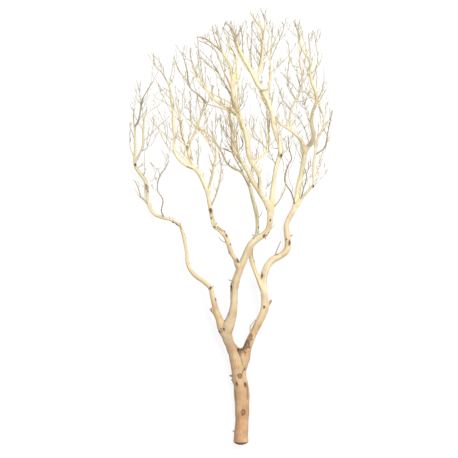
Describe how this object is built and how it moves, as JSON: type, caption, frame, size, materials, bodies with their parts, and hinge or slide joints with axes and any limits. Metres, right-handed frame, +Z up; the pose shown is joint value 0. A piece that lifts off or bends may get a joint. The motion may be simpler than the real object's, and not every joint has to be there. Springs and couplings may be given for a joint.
{
  "type": "driftwood branch",
  "caption": "Bare bleached driftwood branch lying down, with a sawn butt, a straight trunk, winding limbs and a fan of fine twigs.",
  "frame": {"origin": "on the surface that the branch lies on, under the middle of its bounding box", "axes": "+Y from the sawn butt to the crown, +X to the right seen from above with the crown up, +Z up from the surface"},
  "size_m": [0.6987, 1.5007, 0.3416],
  "materials": {
    "bleached_wood": "sand-blasted and sun-bleached bare wood, honey to cream, with dark knots, bark remnants and greyer twigs"
  },
  "bodies": {
    "root": {"branch": "bleached_wood"}
  },
  "joints": []
}
